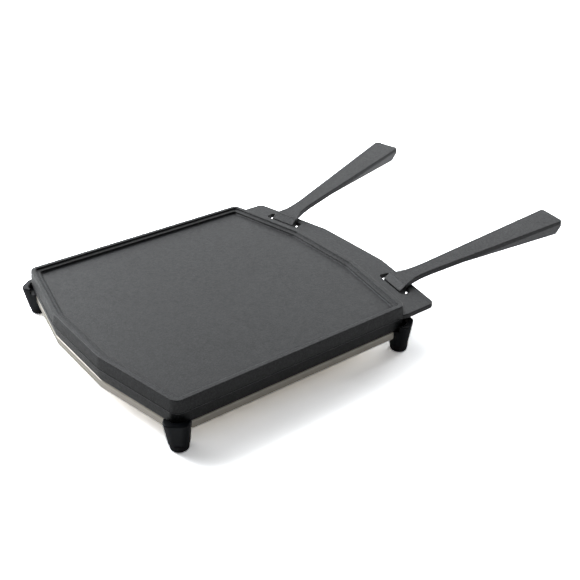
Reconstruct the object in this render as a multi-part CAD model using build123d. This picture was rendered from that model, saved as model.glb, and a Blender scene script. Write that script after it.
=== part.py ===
from build123d import *
import os
from math import atan2, cos, degrees, radians, sin, sqrt, tan

# A reversible cast-iron griddle plate with a handle flange, two hook-in handles and a low steel
# trivet on four moulded feet.  Millimetres, +Z up, the soles stand on z = 0, the handles point to +Y.

# --- griddle plate -------------------------------------------------------------------------------
PLATE_WIDTH = 320.0      # across X, over the rims
SIDE_LENGTH = 284.4      # straight side walls along Y
BOW_DEPTH = 21.4         # how far each end bows out past the side walls
BOW_FLAT = 100.0         # straight middle stretch of each bowed end
PLATE_Z = 28.0           # underside of the plate above the floor
PLATE_HEIGHT = 27.0
DRAFT = 1.5              # how far the parting line stands out past both faces
PLATE_CORNER_R = 10.0
BOW_CORNER_R = 14.0
PARTING_PROUD = 0.3      # the casting's parting line, a low ridge round its sides
PARTING_HEIGHT = 0.8
RIM_WIDTH = 5.0          # crest of the rim on both faces
RIM_DRAFT = 0.7          # plan width of the rim's inner wall on the cooking side
EDGE_ROUND = 0.9         # rounding of cast edges

LEDGE_DEPTH = 2.1        # ledge inside the rim of the cooking side, below its crest
LEDGE_WIDTH = 3.6
LEDGE_DROP = 0.8         # how far the ledge slopes down to its inner edge
LEDGE_ROUND = 0.6        # both edges of the ledge
COOK_DEPTH = 5.6         # flat cooking side, below the crest
COOK_DRAFT = 0.6         # plan width of the wall from the ledge down to it
COVE_R = 1.8             # hollow round its edge
RECESS_CORNER_R = 4.0

GRILL_DEPTH = 16.5       # floor between the ribs of the deep grill side, from its rim
GRILL_DRAFT = 3.5        # plan width of that side's sloping inner wall
RIB_PITCH = 14.0
RIB_WIDTH = 6.0          # at the foot of a rib
RIB_CREST = 3.2
RIB_HEIGHT = 6.0
RIB_MARGIN = 8.0         # clear band between the inner wall and the rib ends

# --- handle flange -------------------------------------------------------------------------------
FLANGE_Z = 38.3
FLANGE_T = 5.7
FLANGE_HALF = 162.0
FLANGE_SIDE_Y = 185.0    # end of the straight sides
FLANGE_FRONT_Y = 206.5
FLANGE_FLAT_HALF = 53.0
FLANGE_CORNER_R = 9.0
FLANGE_BEND_R = 16.0
FLANGE_ROUND = 1.0
FLANGE_BURIED = 20.0     # how far the flange's back runs into the plate
FLANGE_LEAD = 4.0        # its sides come out of the side wall over this length

# --- hook slots, in slot axes: X along the slot, Y outwards -------------------------------------
SLOT_X = 105.0           # slot origin, on both sides of the middle
SLOT_Y = 184.0
SLOT_HALF = 24.4
SLOT_IN = -11.0
SLOT_OUT = 1.5
SLOT_CORNER_R = 2.5
SLOT_CHAMFER = 0.5       # at both mouths
SPLAY = degrees(atan2(FLANGE_FRONT_Y - FLANGE_SIDE_Y, FLANGE_HALF - FLANGE_FLAT_HALF))

# --- handles, in slot axes -----------------------------------------------------------------------
BEND_Z = 49.8            # top of the handle where it bends down into its slot
RISE = 9.25              # degrees
HANDLE_LENGTH = 217.0    # bend to tip
HANDLE_T = 6.0
HOOK_HALF = 16.5
NOSE_Z = 43.4            # where the sloping nose turns down into the slot
NECK_OUT = 0.0           # outer side of the neck that passes through the slot
LIP_END = -17.0
LIP_T = 3.5
LIP_GAP = 0.5            # lip to the flange's underside
NECK_GAP = 2.0           # neck to the slot's inboard side
BEND_R = 5.0             # crest where the grip turns into the nose
NOSE_R = 1.5
LIP_ROOT_R = 8.5         # outside of the bend from neck to lip
LIP_EDGE_R = 1.4
NECK_CORNER_R = 0.6      # inside of that bend
SEAT_EDGE_R = 1.0
SEAT_Z = 44.4            # underside over the flange
SEAT_LENGTH = 15.0       # flat part of that underside, both ways from the bend
ROOT_REACH = 12.0        # how far the bent root runs into the grip
ROOT_SLANT = 0.66        # inward lean of the root's edges where they leave the bend
NECK_AT = 44.0           # narrowest place, from the bend
NECK_HALF = 10.0
TIP_HALF = 18.9
TIP_CORNER_R = 4.5
KEEL_START = 80.0
KEEL_BACK = 4.0          # how far the keel ends before the tip
KEEL_DEPTH = 20.8        # below the top face
TIP_SIDE = 3.8           # height of the sides at the tip, above the bevels
KEEL_INSET = 7.6
HANDLE_ROUND = 0.8
PIVOT_Y = -9.1           # tilt axis, at the neck's inboard face
PIVOT_Z = 44.4

# --- trivet --------------------------------------------------------------------------------------
TRAY_TOP = 27.7
SHEET_T = 1.2
TRAY_BOTTOM = 18.5
TRAY_BEND_R = 2.2
TRAY_CORNER_R = 8.0
FLANGE_END_CUT_R = 12.5  # the turned-down flanges stop this far from each foot's axis
FLANGE_END_R = 1.5
CORNER_INSET = 0.9       # the sheet's edge inside a foot, set in from the outline

# --- feet, in corner axes: X along the corner, Y outwards along its bisector --------------------
FOOT_AXIS = -4.7         # sole axis, measured from the plate's sharp corner
SOLE_TOP = 8.2
SOLE_TOP_R = 10.2
SOLE_LOW_R = 9.1
SOLE_ROUND = 2.0
GROOVE = 0.5
GROOVE_R = 9.0
FOOT_LOW_HALF = 10.6
FOOT_TOP_HALF = 13.2
FOOT_INNER = -14.5
FOOT_LOW_OUTER = 5.0
FOOT_TOP_OUTER = 9.2
FOOT_TOP = 34.5
FOOT_LOW_R = 7.5         # plan corners at the groove and at the lip
FOOT_TOP_R = 8.0
LIP_ROUND = 1.2
LIP_END_R = 1.0          # plan rounding of the lip's blunt ends
LIP_START = -4.0
POCKET_R = 11.5          # hollow that the plate's corner drops into
POCKET_Y = -8.8
FLARE_R = 26.0           # the foot spreads to this radius under the tray
FLARE_LOW_R = 10.6
FLARE_LOW_Z = 15.0
FLARE_EDGE = 2.0
FLARE_INSET = 1.5        # keeps the flare behind the tray's flanges
FLARE_PLAY = 0.3         # to the ends of those flanges

# --- M3 fastening of each foot -------------------------------------------------------------------
SCREW_R = 1.5
SCREW_HEAD_R = 2.8
SCREW_HEAD_H = 2.2
WASHER_R = 3.5
WASHER_T = 0.6
NUT_ACROSS = 5.5
NUT_H = 2.4
RECESS_R = 4.0           # sole recess round the screw head
RECESS_TOP = 5.0
HOLE_PLAY = 0.15
DRIVE_HALF = 1.0         # hexagon socket in the screw head
DRIVE_DEPTH = 1.2
HEAD_ROUND = 1.0
THREAD_PLAY = 0.05       # screw to nut


def near(shape, x, y):
    """The vertex of a sketch nearest to a point."""
    return shape.vertices().sort_by_distance((x, y, 0))[0]


def rounded(points, radii):
    """A face through the points, each corner rounded by its own radius."""
    face = make_face(Polyline(*points, close=True))
    for (x, y), radius in zip(points, radii):
        if radius > 0:
            face = fillet(near(face, x, y), radius)
    return face


def corner_offset(distance):
    """Plan shift of the outline's vertices for an offset outwards."""
    half = PLATE_WIDTH / 2
    run = half - BOW_FLAT / 2
    slope = atan2(BOW_DEPTH, run)
    side = SIDE_LENGTH / 2 + distance * (1 - sin(slope)) / cos(slope)
    flat = BOW_FLAT / 2 + distance * (1 - cos(slope)) / sin(slope)
    return half + distance, side, flat, SIDE_LENGTH / 2 + BOW_DEPTH + distance


def plate_outline(distance, corner_r, bow_r):
    """Eight-sided plate outline, offset outwards by a distance."""
    half, side, flat, end = corner_offset(distance)
    points = [
        (half, -side), (half, side), (flat, end), (-flat, end),
        (-half, side), (-half, -side), (-flat, -end), (flat, -end),
    ]
    radii = [corner_r, corner_r, bow_r, bow_r] * 2
    return rounded(points, radii)


def at_slot(side):
    """Slot axes at floor level; side is 1 at +X and -1 at -X."""
    return Location((side * SLOT_X, SLOT_Y, 0), (0, 0, -side * SPLAY))


def plate_body():
    """The slab with draft both ways from the low ridge of its parting line."""
    middle = PLATE_Z + PLATE_HEIGHT / 2
    taper = degrees(atan2(DRAFT, PLATE_HEIGHT / 2))
    section = Pos(0, 0, middle) * plate_outline(DRAFT, PLATE_CORNER_R + DRAFT, BOW_CORNER_R + DRAFT)
    upper = extrude(section, PLATE_HEIGHT / 2, taper=taper)
    lower = extrude(section, -PLATE_HEIGHT / 2, taper=taper)
    proud = DRAFT + PARTING_PROUD
    ridge = plate_outline(proud, PLATE_CORNER_R + proud, BOW_CORNER_R + proud)
    return upper + lower + Pos(0, 0, middle - PARTING_HEIGHT / 2) * extrude(ridge, PARTING_HEIGHT)


def recess(levels):
    """A tray-shaped cut through outlines given as (depth, inset), from the crest at z = 0 down."""
    outlines = [Pos(0, 0, -depth) * plate_outline(-inset, RECESS_CORNER_R, BOW_CORNER_R)
                for depth, inset in levels]
    return loft(outlines, ruled=True)


def cooking_face():
    """What is cut from the top: the step inside the rim and the flat side with its cove."""
    outer = RIM_WIDTH + RIM_DRAFT
    inner = outer + LEDGE_WIDTH
    ledge_low = LEDGE_DEPTH + LEDGE_DROP
    cut = recess([(0, RIM_WIDTH), (LEDGE_DEPTH, outer), (ledge_low, inner),
                  (COOK_DEPTH, inner + COOK_DRAFT)])
    cut = fillet([e for e in cut.edges() if abs(e.center().Z + COOK_DEPTH) < 0.01], COVE_R)
    both = (LEDGE_DEPTH, ledge_low)
    return fillet([e for e in cut.edges() if min(abs(e.center().Z + d) for d in both) < 0.01], LEDGE_ROUND)


def grill_ribs():
    """Parallel ribs on the underside, trimmed to a band inside the rim."""
    inset = RIM_WIDTH + GRILL_DRAFT + RIB_MARGIN
    half_span = PLATE_WIDTH / 2 - inset
    count = int(half_span / RIB_PITCH)
    section = make_face(Polyline(
        (-RIB_WIDTH / 2, 0), (RIB_WIDTH / 2, 0), (RIB_CREST / 2, -RIB_HEIGHT),
        (-RIB_CREST / 2, -RIB_HEIGHT), close=True))
    length = SIDE_LENGTH + 2 * BOW_DEPTH
    rib = extrude(Plane.XZ * section, length / 2, both=True)
    ribs = [Pos(i * RIB_PITCH, 0, 0) * rib for i in range(-count, count + 1)]
    limit = plate_outline(-inset, RECESS_CORNER_R, BOW_CORNER_R)
    band = extrude(limit, RIB_HEIGHT, both=True)
    return [band & one for one in ribs]


def flange():
    """Handle flange, its back buried in the plate body."""
    back = SIDE_LENGTH / 2 - FLANGE_BURIED
    flush = SIDE_LENGTH / 2 + FLANGE_LEAD
    hidden = FLANGE_HALF - FLANGE_LEAD
    points = [
        (hidden, back), (FLANGE_HALF, flush), (FLANGE_HALF, FLANGE_SIDE_Y),
        (FLANGE_FLAT_HALF, FLANGE_FRONT_Y), (-FLANGE_FLAT_HALF, FLANGE_FRONT_Y),
        (-FLANGE_HALF, FLANGE_SIDE_Y), (-FLANGE_HALF, flush), (-hidden, back),
    ]
    corner = [0, 0, FLANGE_CORNER_R, FLANGE_BEND_R]
    slab = extrude(Pos(0, 0, FLANGE_Z) * rounded(points, corner + corner[::-1]), FLANGE_T)
    middle = FLANGE_Z + FLANGE_T / 2
    rims = [e for e in slab.edges() if abs(e.center().Z - middle) > 1 and e.center().Y > back + 1]
    return fillet(rims, FLANGE_ROUND)


def slot_cut(side):
    """One hook slot, softened at both mouths."""
    width = SLOT_OUT - SLOT_IN
    middle = (SLOT_OUT + SLOT_IN) / 2
    shape = RectangleRounded(2 * SLOT_HALF, width, SLOT_CORNER_R)
    grown = 2 * SLOT_CHAMFER
    wide = RectangleRounded(2 * SLOT_HALF + grown, width + grown, SLOT_CORNER_R + SLOT_CHAMFER)
    cut = extrude(Pos(0, middle, FLANGE_Z - 1) * shape, FLANGE_T + 2)
    for mouth, inward in ((FLANGE_Z + FLANGE_T, -SLOT_CHAMFER), (FLANGE_Z, SLOT_CHAMFER)):
        cut += loft([Pos(0, middle, mouth) * wide, Pos(0, middle, mouth + inward) * shape], ruled=True)
    return at_slot(side) * cut


def griddle_plate():
    """The reversible casting: flat side up, ribs down, flange with two slots."""
    top = PLATE_Z + PLATE_HEIGHT
    body = plate_body()
    body = body + flange()
    body = body - Pos(0, 0, top) * cooking_face()
    grill_side = mirror(recess([(0, RIM_WIDTH), (GRILL_DEPTH, RIM_WIDTH + GRILL_DRAFT)]), Plane.XY)
    body = body - Pos(0, 0, PLATE_Z) * grill_side
    rims = [e for e in body.edges() if min(abs(e.center().Z - z) for z in (top, PLATE_Z)) < 0.01]
    body = fillet(rims, EDGE_ROUND)
    for rib in grill_ribs():
        body = body + Pos(0, 0, PLATE_Z + GRILL_DEPTH) * rib
    for side in (1, -1):
        body = body - slot_cut(side)
    return body


def handle_plan():
    """Top outline of a handle: flared root, narrow neck, square tip; Y runs along the handle."""
    slope = (TIP_HALF - NECK_HALF) / (HANDLE_LENGTH - NECK_AT)
    start = (HOOK_HALF, -1)
    neck = (NECK_HALF, NECK_AT)
    edges = []
    for side in (1, -1):
        root = Spline([(side * start[0], start[1]), (side * neck[0], neck[1])],
                      tangents=[(-side * ROOT_SLANT, 1), (side * slope, 1)])
        straight = Line((side * neck[0], neck[1]), (side * TIP_HALF, HANDLE_LENGTH))
        edges += [root, straight]
    edges.append(Line((-TIP_HALF, HANDLE_LENGTH), (TIP_HALF, HANDLE_LENGTH)))
    edges.append(Line((-start[0], start[1]), (start[0], start[1])))
    face = make_face(edges)
    for side in (1, -1):
        face = fillet(near(face, side * TIP_HALF, HANDLE_LENGTH), TIP_CORNER_R)
    return face


def keel_block():
    """The grip from where its keel starts to the tip: sides that thin out above two bevels."""
    start_half = NECK_HALF + (TIP_HALF - NECK_HALF) * (KEEL_START - NECK_AT) / (HANDLE_LENGTH - NECK_AT)
    low = TIP_HALF - KEEL_INSET
    end = HANDLE_LENGTH - KEEL_BACK
    right = {
        "root_top": (start_half, KEEL_START, 0), "root": (start_half, KEEL_START, -HANDLE_T),
        "tip_top": (TIP_HALF, HANDLE_LENGTH, 0), "tip": (TIP_HALF, HANDLE_LENGTH, -TIP_SIDE),
        "keel": (low, end, -KEEL_DEPTH),
    }
    left = {name: (-x, y, z) for name, (x, y, z) in right.items()}
    faces = []
    for a, b in (("root_top", "root"), ("root", "keel"), ("keel", "tip"), ("tip", "tip_top"),
                 ("tip_top", "root_top")):
        faces.append([right[a], right[b], left[b], left[a]])
    for half in (right, left):
        faces.append([half[name] for name in ("root_top", "root", "tip", "tip_top")])
        faces.append([half[name] for name in ("root", "keel", "tip")])
    return Solid(Shell([Face(Wire.make_polygon(corners)) for corners in faces]))


def blade():
    """The grip, inclined upwards from the bend."""
    prism = extrude(handle_plan(), -KEEL_DEPTH - 2)
    slab = Pos(0, 0, -HANDLE_T / 2) * Box(4 * TIP_HALF, 2 * KEEL_START, HANDLE_T)
    shape = prism & (slab + keel_block())
    top_edges = shape.faces().sort_by(Axis.Z)[-1].edges()
    shape = fillet([e for e in top_edges if e.center().Y > 0], HANDLE_ROUND)
    return Pos(0, 0, BEND_Z) * Rot(RISE, 0, 0) * shape


def hook():
    """The bent nose: down through the slot, then a lip inboard under the flange."""
    rise = tan(radians(RISE))
    neck_in = SLOT_IN + NECK_GAP
    lip_top = FLANGE_Z - LIP_GAP
    lip_low = lip_top - LIP_T
    under = HANDLE_T / cos(radians(RISE))
    seat_end = (SEAT_Z + under - BEND_Z) / rise
    points = [
        (LIP_END, lip_top), (neck_in, lip_top), (neck_in, NOSE_Z), (0, BEND_Z),
        (ROOT_REACH, BEND_Z + ROOT_REACH * rise), (ROOT_REACH, BEND_Z + ROOT_REACH * rise - under),
        (seat_end, SEAT_Z), (NECK_OUT, SEAT_Z), (NECK_OUT, lip_low), (LIP_END, lip_low),
    ]
    radii = [LIP_EDGE_R, NECK_CORNER_R, NOSE_R, BEND_R, 0, 0, 0, SEAT_EDGE_R, LIP_ROOT_R, LIP_EDGE_R]
    bent = extrude(Plane.YZ * rounded(points, radii), HOOK_HALF, both=True)
    nose_width = Pos(0, LIP_END / 2, BEND_Z) * Box(2 * HOOK_HALF, -LIP_END, 2 * BEND_Z)
    root_width = extrude(handle_plan(), 2 * BEND_Z)
    return bent & (nose_width + root_width)


def handle(side):
    """One hook-in handle, resting on the flange with its lip under it."""
    under_seat = Pos(0, 0, SEAT_Z / 2) * Box(4 * HOOK_HALF, 2 * SEAT_LENGTH, SEAT_Z)
    return at_slot(side) * (blade() - under_seat + hook())


def tray():
    """Folded steel sheet with turned-down flanges that stop short of the feet."""
    outer = extrude(Pos(0, 0, TRAY_BOTTOM) * plate_outline(0, TRAY_CORNER_R, BOW_CORNER_R),
                    TRAY_TOP - TRAY_BOTTOM)
    outer = fillet(outer.faces().sort_by(Axis.Z)[-1].edges(), TRAY_BEND_R)
    inner_face = plate_outline(-SHEET_T, TRAY_CORNER_R - SHEET_T, BOW_CORNER_R - SHEET_T)
    inner = extrude(Pos(0, 0, TRAY_BOTTOM - 1) * inner_face, TRAY_TOP - TRAY_BOTTOM + 1 - SHEET_T)
    inner = fillet(inner.faces().sort_by(Axis.Z)[-1].edges(), TRAY_BEND_R - SHEET_T)
    sheet = outer - inner
    kept = extrude(plate_outline(-CORNER_INSET, TRAY_CORNER_R, BOW_CORNER_R), 2 * TRAY_TOP)
    kept = kept - extrude(plate_outline(0, TRAY_CORNER_R, BOW_CORNER_R), TRAY_TOP - SHEET_T)
    for place in corners():
        cut = place * Pos(0, FOOT_AXIS, 0) * extrude(Circle(FLANGE_END_CUT_R), 2 * TRAY_TOP)
        hole = place * Pos(0, FOOT_AXIS, 0) * extrude(Circle(SCREW_R + HOLE_PLAY), 2 * TRAY_TOP)
        sheet = sheet - (cut - kept) - hole
    low = [e for e in sheet.edges() if abs(e.center().Z - TRAY_BOTTOM) < 0.01 and e.length < 2 * SHEET_T]
    return fillet(low, FLANGE_END_R)


def corners():
    """The corner axes of the four plate corners, front left, front right, rear left, rear right."""
    half = PLATE_WIDTH / 2
    slope = atan2(BOW_DEPTH, half - BOW_FLAT / 2)
    bisector = 45 - degrees(slope) / 2
    turn = {(1, 1): bisector, (-1, 1): 180 - bisector, (-1, -1): 180 + bisector, (1, -1): -bisector}
    order = [(-1, -1), (1, -1), (-1, 1), (1, 1)]
    return [Location((sx * half, sy * SIDE_LENGTH / 2, 0), (0, 0, turn[sx, sy] - 90))
            for sx, sy in order]


def foot_plan(z):
    """Plan of the moulded foot at a height; it widens towards the top."""
    low_z = SOLE_TOP + GROOVE
    share = (z - low_z) / (FOOT_TOP - low_z)
    half = FOOT_LOW_HALF + share * (FOOT_TOP_HALF - FOOT_LOW_HALF)
    outer = FOOT_LOW_OUTER + share * (FOOT_TOP_OUTER - FOOT_LOW_OUTER)
    radius = FOOT_LOW_R + share * (FOOT_TOP_R - FOOT_LOW_R)
    return Pos(0, (FOOT_INNER + outer) / 2, 0) * RectangleRounded(2 * half, outer - FOOT_INNER, radius)


def lip_plan(z):
    """Plan of the upstanding lip at a height: a hollow-backed crescent with blunt ends."""
    behind = Pos(0, LIP_START - FOOT_TOP, 0) * Rectangle(4 * FOOT_TOP_HALF, 2 * FOOT_TOP)
    plan = foot_plan(z) - behind - Pos(0, POCKET_Y, 0) * Circle(POCKET_R)
    return fillet([v for v in plan.vertices() if abs(v.Y - LIP_START) < 0.01], LIP_END_R)


def foot_block():
    """Moulded foot in corner axes: block with an upstanding lip round the plate's corner."""
    low_z = SOLE_TOP + GROOVE
    body = loft([Pos(0, 0, z) * foot_plan(z) for z in (low_z, TRAY_TOP)], ruled=True)
    lip = loft([Pos(0, 0, z) * lip_plan(z) for z in (TRAY_TOP, FOOT_TOP)], ruled=True)
    lip = fillet(lip.faces().sort_by(Axis.Z)[-1].edges(), LIP_ROUND)
    return body + lip + foot_core()


def foot_flare():
    """The foot's spread under the tray: a hollow-curved skirt round the sole's axis."""
    drop = TRAY_TOP - FLARE_EDGE - FLARE_LOW_Z
    outline = [
        Line((0, FLARE_LOW_Z), (FLARE_LOW_R, FLARE_LOW_Z)),
        Spline([(FLARE_LOW_R, FLARE_LOW_Z), (FLARE_R, FLARE_LOW_Z + drop)],
               tangents=[(0.15, 1), (1, 0.25)]),
        Line((FLARE_R, FLARE_LOW_Z + drop), (FLARE_R, TRAY_TOP)),
        Line((FLARE_R, TRAY_TOP), (0, TRAY_TOP)),
        Line((0, TRAY_TOP), (0, FLARE_LOW_Z)),
    ]
    return Pos(0, FOOT_AXIS, 0) * revolve(Plane.XZ * make_face(outline), Axis.Z)


def foot_core():
    """The neck that shows as a groove above the sole."""
    return Pos(0, FOOT_AXIS, SOLE_TOP) * extrude(Circle(GROOVE_R), GROOVE + 1)


def foot(place, sheet):
    """One foot in place: block and flare, shaped round the tray's corner, bored for its screw."""
    behind = extrude(plate_outline(-FLARE_INSET, TRAY_CORNER_R, BOW_CORNER_R), TRAY_TOP)
    skin = extrude(plate_outline(0, TRAY_CORNER_R, BOW_CORNER_R), TRAY_TOP)
    near_axis = place * Pos(0, FOOT_AXIS, 0) * extrude(Circle(FLANGE_END_CUT_R - FLARE_PLAY), TRAY_TOP)
    flare = place * foot_flare()
    body = place * foot_block() + (flare & behind) + (flare & skin & near_axis)
    body = body - sheet
    nut_r = NUT_ACROSS / sqrt(3) + HOLE_PLAY
    nut_z = TRAY_TOP - SHEET_T - NUT_H - HOLE_PLAY
    bore = extrude(Circle(SCREW_R + HOLE_PLAY), TRAY_TOP)
    nut_room = Pos(0, 0, nut_z) * extrude(Circle(nut_r), TRAY_TOP)
    return body - place * Pos(0, FOOT_AXIS, 0) * (bore + nut_room)


def sole():
    """Rubber sole, a little narrower at the floor, with a recess for the screw head."""
    pad = loft([Circle(SOLE_LOW_R), Pos(0, 0, SOLE_TOP) * Circle(SOLE_TOP_R)], ruled=True)
    pad = fillet(pad.faces().sort_by(Axis.Z)[0].edges(), SOLE_ROUND)
    pad = pad - extrude(Circle(SCREW_R + HOLE_PLAY), SOLE_TOP)
    pad = pad - extrude(Circle(RECESS_R), RECESS_TOP)
    return Pos(0, FOOT_AXIS, 0) * pad


def foot_washer():
    """Flat washer in the sole's recess."""
    ring = Circle(WASHER_R) - Circle(SCREW_R + HOLE_PLAY)
    return Pos(0, FOOT_AXIS, RECESS_TOP - WASHER_T) * extrude(ring, WASHER_T)


def foot_screw():
    """Pan-head screw from the sole up into the tray's nut."""
    head_top = RECESS_TOP - WASHER_T
    head = Pos(0, 0, head_top - SCREW_HEAD_H) * extrude(Circle(SCREW_HEAD_R), SCREW_HEAD_H)
    head = fillet(head.faces().sort_by(Axis.Z)[0].edges(), HEAD_ROUND)
    drive = Pos(0, 0, head_top - SCREW_HEAD_H) * extrude(RegularPolygon(DRIVE_HALF, 6), DRIVE_DEPTH)
    shank_top = TRAY_TOP - SHEET_T
    shank = Pos(0, 0, head_top) * extrude(Circle(SCREW_R), shank_top - head_top)
    return Pos(0, FOOT_AXIS, 0) * (head + shank - drive)


def tray_nut():
    """Hexagon nut welded under the tray corner."""
    ring = RegularPolygon(NUT_ACROSS / 2, 6, major_radius=False) - Circle(SCREW_R + THREAD_PLAY)
    return Pos(0, FOOT_AXIS, TRAY_TOP - SHEET_T - NUT_H) * extrude(ring, NUT_H)


def make_nodes():
    """Every piece by name, in plate axes."""
    sheet = tray()
    nodes = {"griddle_plate": griddle_plate(), "trivet_tray": sheet}
    nodes["handle_left"] = handle(-1)
    nodes["handle_right"] = handle(1)
    pieces = {
        "foot_sole": sole(), "foot_washer": foot_washer(), "foot_screw": foot_screw(),
        "tray_nut": tray_nut(),
    }
    names = ["front_left", "front_right", "rear_left", "rear_right"]
    for corner, place in zip(names, corners()):
        nodes["foot_" + corner] = foot(place, sheet)
        for kind, piece in pieces.items():
            nodes[kind + "_" + corner] = place * piece
    return nodes


def centring_shift(nodes):
    """The shift along Y that puts the origin under the middle of the whole box."""
    boxes = [shape.bounding_box() for shape in nodes.values()]
    low = min(box.min.Y for box in boxes)
    high = max(box.max.Y for box in boxes)
    return Pos(0, -round((low + high) / 2, 2), 0)


def tilt_axis(side, shift):
    """A point on a handle's tilt axis and the axis, with +Y end up as positive."""
    point = (shift * at_slot(side) * Pos(0, PIVOT_Y, PIVOT_Z)).position
    return point, (cos(radians(SPLAY)), -side * sin(radians(SPLAY)), 0)


os.makedirs("parts", exist_ok=True)
model = make_nodes()
to_origin = centring_shift(model)
for node, shape in model.items():
    export_step(to_origin * shape, f"parts/{node}.step")
print("plate centre", to_origin.position)
print("left tilt axis", tilt_axis(-1, to_origin))
print("right tilt axis", tilt_axis(1, to_origin))
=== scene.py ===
import bpy
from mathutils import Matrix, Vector


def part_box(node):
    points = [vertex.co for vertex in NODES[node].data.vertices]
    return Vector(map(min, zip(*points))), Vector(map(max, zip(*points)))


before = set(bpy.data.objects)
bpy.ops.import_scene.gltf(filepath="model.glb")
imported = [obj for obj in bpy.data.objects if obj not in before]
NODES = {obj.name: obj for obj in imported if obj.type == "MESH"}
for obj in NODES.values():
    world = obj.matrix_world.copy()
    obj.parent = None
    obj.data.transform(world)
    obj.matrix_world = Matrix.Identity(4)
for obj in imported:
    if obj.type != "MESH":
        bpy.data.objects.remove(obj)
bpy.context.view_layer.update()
scene = bpy.context.scene

CORNERS = ["front_left", "front_right", "rear_left", "rear_right"]
TRAY_LOW, TRAY_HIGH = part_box("trivet_tray")
CENTRE = Vector(((TRAY_LOW.x + TRAY_HIGH.x) / 2, (TRAY_LOW.y + TRAY_HIGH.y) / 2, 0))

# --- camera and light, all in camera-side terms: right, away from the camera, up ---------------------
CAMERA_AT = Vector((0.7575, -0.46715, 0.55735))      # from the middle of the trivet, on the floor
CAMERA_AIM = Vector((-0.6905, 0.5256, -0.4970))
LENS, SENSOR = 57.36, 36.0
AWAY = Vector((CAMERA_AIM.x, CAMERA_AIM.y, 0)).normalized()
RIGHT = AWAY.cross(Vector((0, 0, 1)))
LIGHTS = {
    # name: (right, away, up in metres, width, height, watts)
    "back_left": (-1.2, 1.3, 1.1, 1.4, 1.0, 7.0),
    "back_high": (0.0, 1.4, 1.4, 1.6, 1.0, 6.6),
    "back": (0.0, 1.9, 0.8, 2.0, 0.9, 6.8),
    "left_high": (-1.15, 0.7, 1.2, 1.0, 0.9, 9.5),
    "left_low": (-1.6, 0.7, 0.4, 1.2, 0.7, 9.5),
    "right": (1.2, 1.1, 0.55, 0.8, 0.5, 6.5),
    "front_high": (0.3, -1.5, 1.5, 1.6, 1.0, 1.5),
}
LIGHT_COLOUR = (0.955, 0.977, 1.0)
WORLD_STRENGTH = 0.05
FLOOR_TONE = 6.4      # above 1 on purpose: overexposes the seen floor, as in a product shot
FLOOR_GLOW = 0.02
BOUNCE_TONE = 1.25    # above 1 on purpose: stands in for the light of a whole white room
FLOOR_REACH = 12.0
BOUNCE_DROP = 0.0005  # the hidden sheet lies this far under the seen one
AIM_HEIGHT = 0.04

# --- sizes of surface detail, in metres ----------------------------------------------------------------
CAST_GRAIN, CAST_GRAIN_HEIGHT = 0.0017, 0.0003
CAST_SKIN, CAST_SKIN_HEIGHT = 0.004, 0.0002
CAST_PATCH = 0.06
# reach of the painted shade that darkens corners and recesses
PAINTED_SHADE_REACH = 0.006
# radius of the edges painted lighter: partly worn metal, partly a painted highlight
WORN_EDGE_HIGHLIGHT_RADIUS = 0.0008
EDGE_RADIUS = 0.0003
BRUSH_LINE, BRUSH_HEIGHT = 0.0005, 0.00001
SMUDGE = 0.03
HAZE = 0.012


def new_material(name):
    """A fresh node material with its Principled shader."""
    material = bpy.data.materials.new(name)
    material.use_nodes = True
    tree = material.node_tree
    return material, tree, tree.nodes["Principled BSDF"]


def node(tree, kind, **settings):
    """One node, with attributes set by name and inputs by their own name."""
    made = tree.nodes.new(kind)
    for key, value in settings.items():
        if hasattr(made, key):
            setattr(made, key, value)
        else:
            made.inputs[key.replace("_", " ")].default_value = value
    return made


def noise(tree, coords, size, detail=3.0, roughness=0.55):
    """Noise with features of about that size, in metres."""
    made = node(tree, "ShaderNodeTexNoise", Scale=1 / size, Detail=detail, Roughness=roughness)
    tree.links.new(coords, made.inputs["Vector"])
    return made.outputs["Fac"]


def spread(tree, value, low, high, out_low=0.0, out_high=1.0):
    """Maps a stretch of a value onto another."""
    made = node(tree, "ShaderNodeMapRange")
    made.inputs["From Min"].default_value = low
    made.inputs["From Max"].default_value = high
    made.inputs["To Min"].default_value = out_low
    made.inputs["To Max"].default_value = out_high
    tree.links.new(value, made.inputs["Value"])
    return made.outputs["Result"]


def blend(tree, factor, a, b):
    """Colour mix of two colours or sockets."""
    made = node(tree, "ShaderNodeMix", data_type="RGBA")
    tree.links.new(factor, made.inputs[0])
    for socket, value in ((made.inputs[6], a), (made.inputs[7], b)):
        if isinstance(value, bpy.types.NodeSocket):
            tree.links.new(value, socket)
        else:
            socket.default_value = (*value, 1.0)
    return made.outputs[2]


def bump(tree, height, distance, strength=1.0, under=None):
    """A bump of that height in metres, on top of another bump."""
    made = node(tree, "ShaderNodeBump")
    made.inputs["Strength"].default_value = strength
    made.inputs["Distance"].default_value = distance
    tree.links.new(height, made.inputs["Height"])
    if under is not None:
        tree.links.new(under, made.inputs["Normal"])
    return made.outputs["Normal"]


def object_coords(tree):
    """Coordinates fixed to each piece, in metres."""
    return tree.nodes.new("ShaderNodeTexCoord").outputs["Object"]


def times(tree, first, second):
    """The product of two values."""
    product = node(tree, "ShaderNodeMath", operation="MULTIPLY")
    tree.links.new(first, product.inputs[0])
    tree.links.new(second, product.inputs[1])
    return product.outputs["Value"]


def sharp_edges(tree, radius):
    """1 on edges and 0 on plain faces."""
    soft = node(tree, "ShaderNodeBevel", samples=6)
    soft.inputs["Radius"].default_value = radius
    plain = tree.nodes.new("ShaderNodeNewGeometry")
    turn = node(tree, "ShaderNodeVectorMath", operation="DOT_PRODUCT")
    tree.links.new(soft.outputs["Normal"], turn.inputs[0])
    tree.links.new(plain.outputs["Normal"], turn.inputs[1])
    return spread(tree, turn.outputs["Value"], 0.995, 0.95)


def rounded(tree, radius):
    """The surface normal, as if every sharp edge had this radius."""
    soft = node(tree, "ShaderNodeBevel", samples=4)
    soft.inputs["Radius"].default_value = radius
    return soft.outputs["Normal"]


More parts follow.
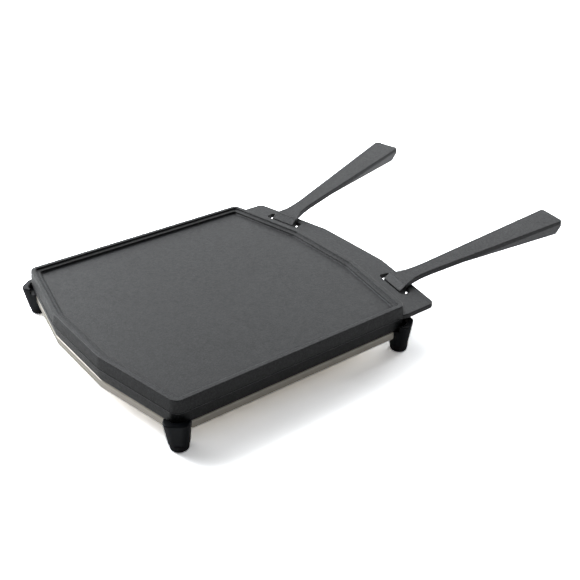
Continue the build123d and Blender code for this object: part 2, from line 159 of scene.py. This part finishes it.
def painted_shade_openness(tree, reach):
    """Painted shade mask: 1 on open faces, falling in corners and recesses, where it dulls the gloss to
    darken them.
    """
    hidden = node(tree, "ShaderNodeAmbientOcclusion", samples=6)
    hidden.inputs["Distance"].default_value = reach
    return hidden.outputs["AO"]


def cast_iron(name, dark, light, worn_edge_highlight_tone, rough):
    """Seasoned cast iron: sand-cast grain, soft blotches, edges painted lighter as partly worn metal and
    partly painted highlight, and painted shade that dulls corners and recesses.
    """
    material, tree, shader = new_material(name)
    coords = object_coords(tree)
    grain = noise(tree, coords, CAST_GRAIN, 4.0, 0.7)
    skin = noise(tree, coords, CAST_SKIN, 3.0)
    patches = noise(tree, coords, CAST_PATCH, 4.0)
    colour = blend(tree, spread(tree, patches, 0.35, 0.65), dark, light)
    colour = blend(tree, spread(tree, grain, 0.42, 0.70), colour, tuple(2.8 * c for c in light))
    # painted shade: ambient occlusion falls in corners and recesses
    painted_shade_open = painted_shade_openness(tree, PAINTED_SHADE_REACH)
    # edges painted lighter, partly worn metal and partly painted highlight, kept off the painted-shade
    # recesses
    open_edge_highlight = times(tree, sharp_edges(tree, WORN_EDGE_HIGHLIGHT_RADIUS), spread(tree, painted_shade_open, 0.80, 0.95))
    worn_and_highlight_edges = times(tree, open_edge_highlight, spread(tree, skin, 0.25, 0.6, 0.45, 1.0))
    colour = blend(tree, worn_and_highlight_edges, colour, worn_edge_highlight_tone)
    tree.links.new(colour, shader.inputs["Base Color"])
    tree.links.new(spread(tree, skin, 0.3, 0.7, rough - 0.07, rough + 0.07), shader.inputs["Roughness"])
    # painted shade: the specular level drops in corners and recesses, darkening them
    painted_shade_shine = spread(tree, painted_shade_open, 0.50, 0.84, 0.02, 0.5)
    tree.links.new(painted_shade_shine, shader.inputs["Specular IOR Level"])
    normal = bump(tree, skin, CAST_SKIN_HEIGHT, 0.6, under=rounded(tree, EDGE_RADIUS))
    normal = bump(tree, grain, CAST_GRAIN_HEIGHT, 1.0, under=normal)
    tree.links.new(normal, shader.inputs["Normal"])
    return material


def brushed_steel(name, colour, rough, along):
    """Sheet steel with fine brush lines along one axis."""
    material, tree, shader = new_material(name)
    coords = object_coords(tree)
    stretch = node(tree, "ShaderNodeMapping")
    tree.links.new(coords, stretch.inputs["Vector"])
    stretch.inputs["Scale"].default_value = along
    lines = noise(tree, stretch.outputs["Vector"], BRUSH_LINE, 2.0)
    smudge = noise(tree, coords, SMUDGE, 3.0)
    tinted = blend(tree, spread(tree, smudge, 0.3, 0.7), tuple(0.9 * c for c in colour), colour)
    tree.links.new(tinted, shader.inputs["Base Color"])
    shader.inputs["Metallic"].default_value = 1.0
    tree.links.new(spread(tree, lines, 0.3, 0.7, rough - 0.06, rough + 0.08), shader.inputs["Roughness"])
    tree.links.new(bump(tree, lines, BRUSH_HEIGHT, 0.5), shader.inputs["Normal"])
    return material


def moulded(name, colour, rough, grain_size, grain_height):
    """Moulded plastic or rubber with a fine tool texture."""
    material, tree, shader = new_material(name)
    coords = object_coords(tree)
    grain = noise(tree, coords, grain_size, 3.0)
    haze = noise(tree, coords, HAZE, 3.0)
    light = tuple(1.8 * c for c in colour)
    tree.links.new(blend(tree, spread(tree, haze, 0.3, 0.7), colour, light), shader.inputs["Base Color"])
    tree.links.new(spread(tree, haze, 0.3, 0.7, rough - 0.05, rough + 0.07), shader.inputs["Roughness"])
    tree.links.new(bump(tree, grain, grain_height, 0.6), shader.inputs["Normal"])
    shader.inputs["Specular IOR Level"].default_value = 0.25
    return material


def dress(names, material):
    """Gives CAD nodes a finished material."""
    for name in names:
        for slot in NODES[name].material_slots:
            slot.material = material


def make_materials():
    """One material for each kind of piece."""
    # the third colour of each iron is its edge tone: partly worn metal, partly a painted highlight
    plate_iron = cast_iron("plate_iron", (0.0105, 0.011, 0.0115), (0.0155, 0.0165, 0.017),
                           (0.17, 0.172, 0.174), 0.37)
    dress(["griddle_plate"], plate_iron)
    handle_iron = cast_iron("handle_iron", (0.018, 0.0185, 0.019), (0.026, 0.0265, 0.027),
                            (0.22, 0.22, 0.22), 0.36)
    dress(["handle_left", "handle_right"], handle_iron)
    dress(["trivet_tray"], brushed_steel("tray_steel", (0.74, 0.69, 0.61), 0.36, (0.05, 1.0, 1.0)))
    nylon = moulded("foot_nylon", (0.004, 0.005, 0.007), 0.36, 0.0006, 0.00002)
    rubber = moulded("sole_rubber", (0.005, 0.005, 0.006), 0.55, 0.0009, 0.00004)
    zinc = brushed_steel("fastener_steel", (0.58, 0.58, 0.57), 0.34, (1.0, 1.0, 0.3))
    for corner in CORNERS:
        dress(["foot_" + corner], nylon)
        dress(["foot_sole_" + corner], rubber)
        dress([kind + corner for kind in ("foot_screw_", "foot_washer_", "tray_nut_")], zinc)


def floor_sheet(name, height, tone, glow):
    """A plain square sheet with its own pale material."""
    mesh = bpy.data.meshes.new(name)
    sides = ((-1, -1), (1, -1), (1, 1), (-1, 1))
    corners = [(sx * FLOOR_REACH, sy * FLOOR_REACH, height) for sx, sy in sides]
    mesh.from_pydata(corners, [], [(0, 1, 2, 3)])
    sheet = bpy.data.objects.new(name, mesh)
    scene.collection.objects.link(sheet)
    material, tree, shader = new_material(name + "_paint")
    mottle = noise(tree, object_coords(tree), 0.6, 2.0)
    shade = blend(tree, mottle, (0.99 * tone,) * 3, (1.01 * tone,) * 3)
    tree.links.new(shade, shader.inputs["Base Color"])
    shader.inputs["Roughness"].default_value = 0.95
    shader.inputs["Specular IOR Level"].default_value = 0.0
    shader.inputs["Emission Color"].default_value = (1.0, 1.0, 1.0, 1.0)
    shader.inputs["Emission Strength"].default_value = glow
    mesh.materials.append(material)
    return sheet


def make_floor():
    """A pale floor: the sheet that is seen, and a plain one under it that lights the object."""
    seen = floor_sheet("floor", 0.0, FLOOR_TONE, FLOOR_GLOW)
    seen.visible_diffuse = False
    seen.visible_glossy = False
    seen.visible_shadow = False
    bounce = floor_sheet("floor_bounce", -BOUNCE_DROP, BOUNCE_TONE, 0.0)
    bounce.visible_camera = False


def make_lights():
    """Soft boxes aimed at the middle of the trivet, and a dim even world."""
    target = CENTRE + Vector((0, 0, AIM_HEIGHT))
    for name, (right, away, up, width, height, watts) in LIGHTS.items():
        data = bpy.data.lights.new(name, "AREA")
        data.shape = "RECTANGLE"
        data.size, data.size_y = width, height
        data.energy = watts
        data.color = LIGHT_COLOUR
        lamp = bpy.data.objects.new(name, data)
        scene.collection.objects.link(lamp)
        lamp.location = CENTRE + right * RIGHT + away * AWAY + Vector((0, 0, up))
        lamp.rotation_euler = (target - lamp.location).to_track_quat("-Z", "Y").to_euler()
    world = bpy.data.worlds.new("studio")
    world.use_nodes = True
    world.node_tree.nodes["Background"].inputs["Strength"].default_value = WORLD_STRENGTH
    world.node_tree.nodes["Background"].inputs["Color"].default_value = (1.0, 1.0, 1.0, 1.0)
    scene.world = world
    scene.view_settings.view_transform = "Standard"


def make_camera():
    """The camera, at the angle the object is seen from."""
    data = bpy.data.cameras.new("camera")
    data.sensor_width = SENSOR
    data.lens = LENS
    camera = bpy.data.objects.new("camera", data)
    scene.collection.objects.link(camera)
    camera.location = CENTRE + CAMERA_AT
    camera.rotation_euler = CAMERA_AIM.to_track_quat("-Z", "Y").to_euler()
    scene.camera = camera


make_camera()
make_floor()
make_lights()
make_materials()
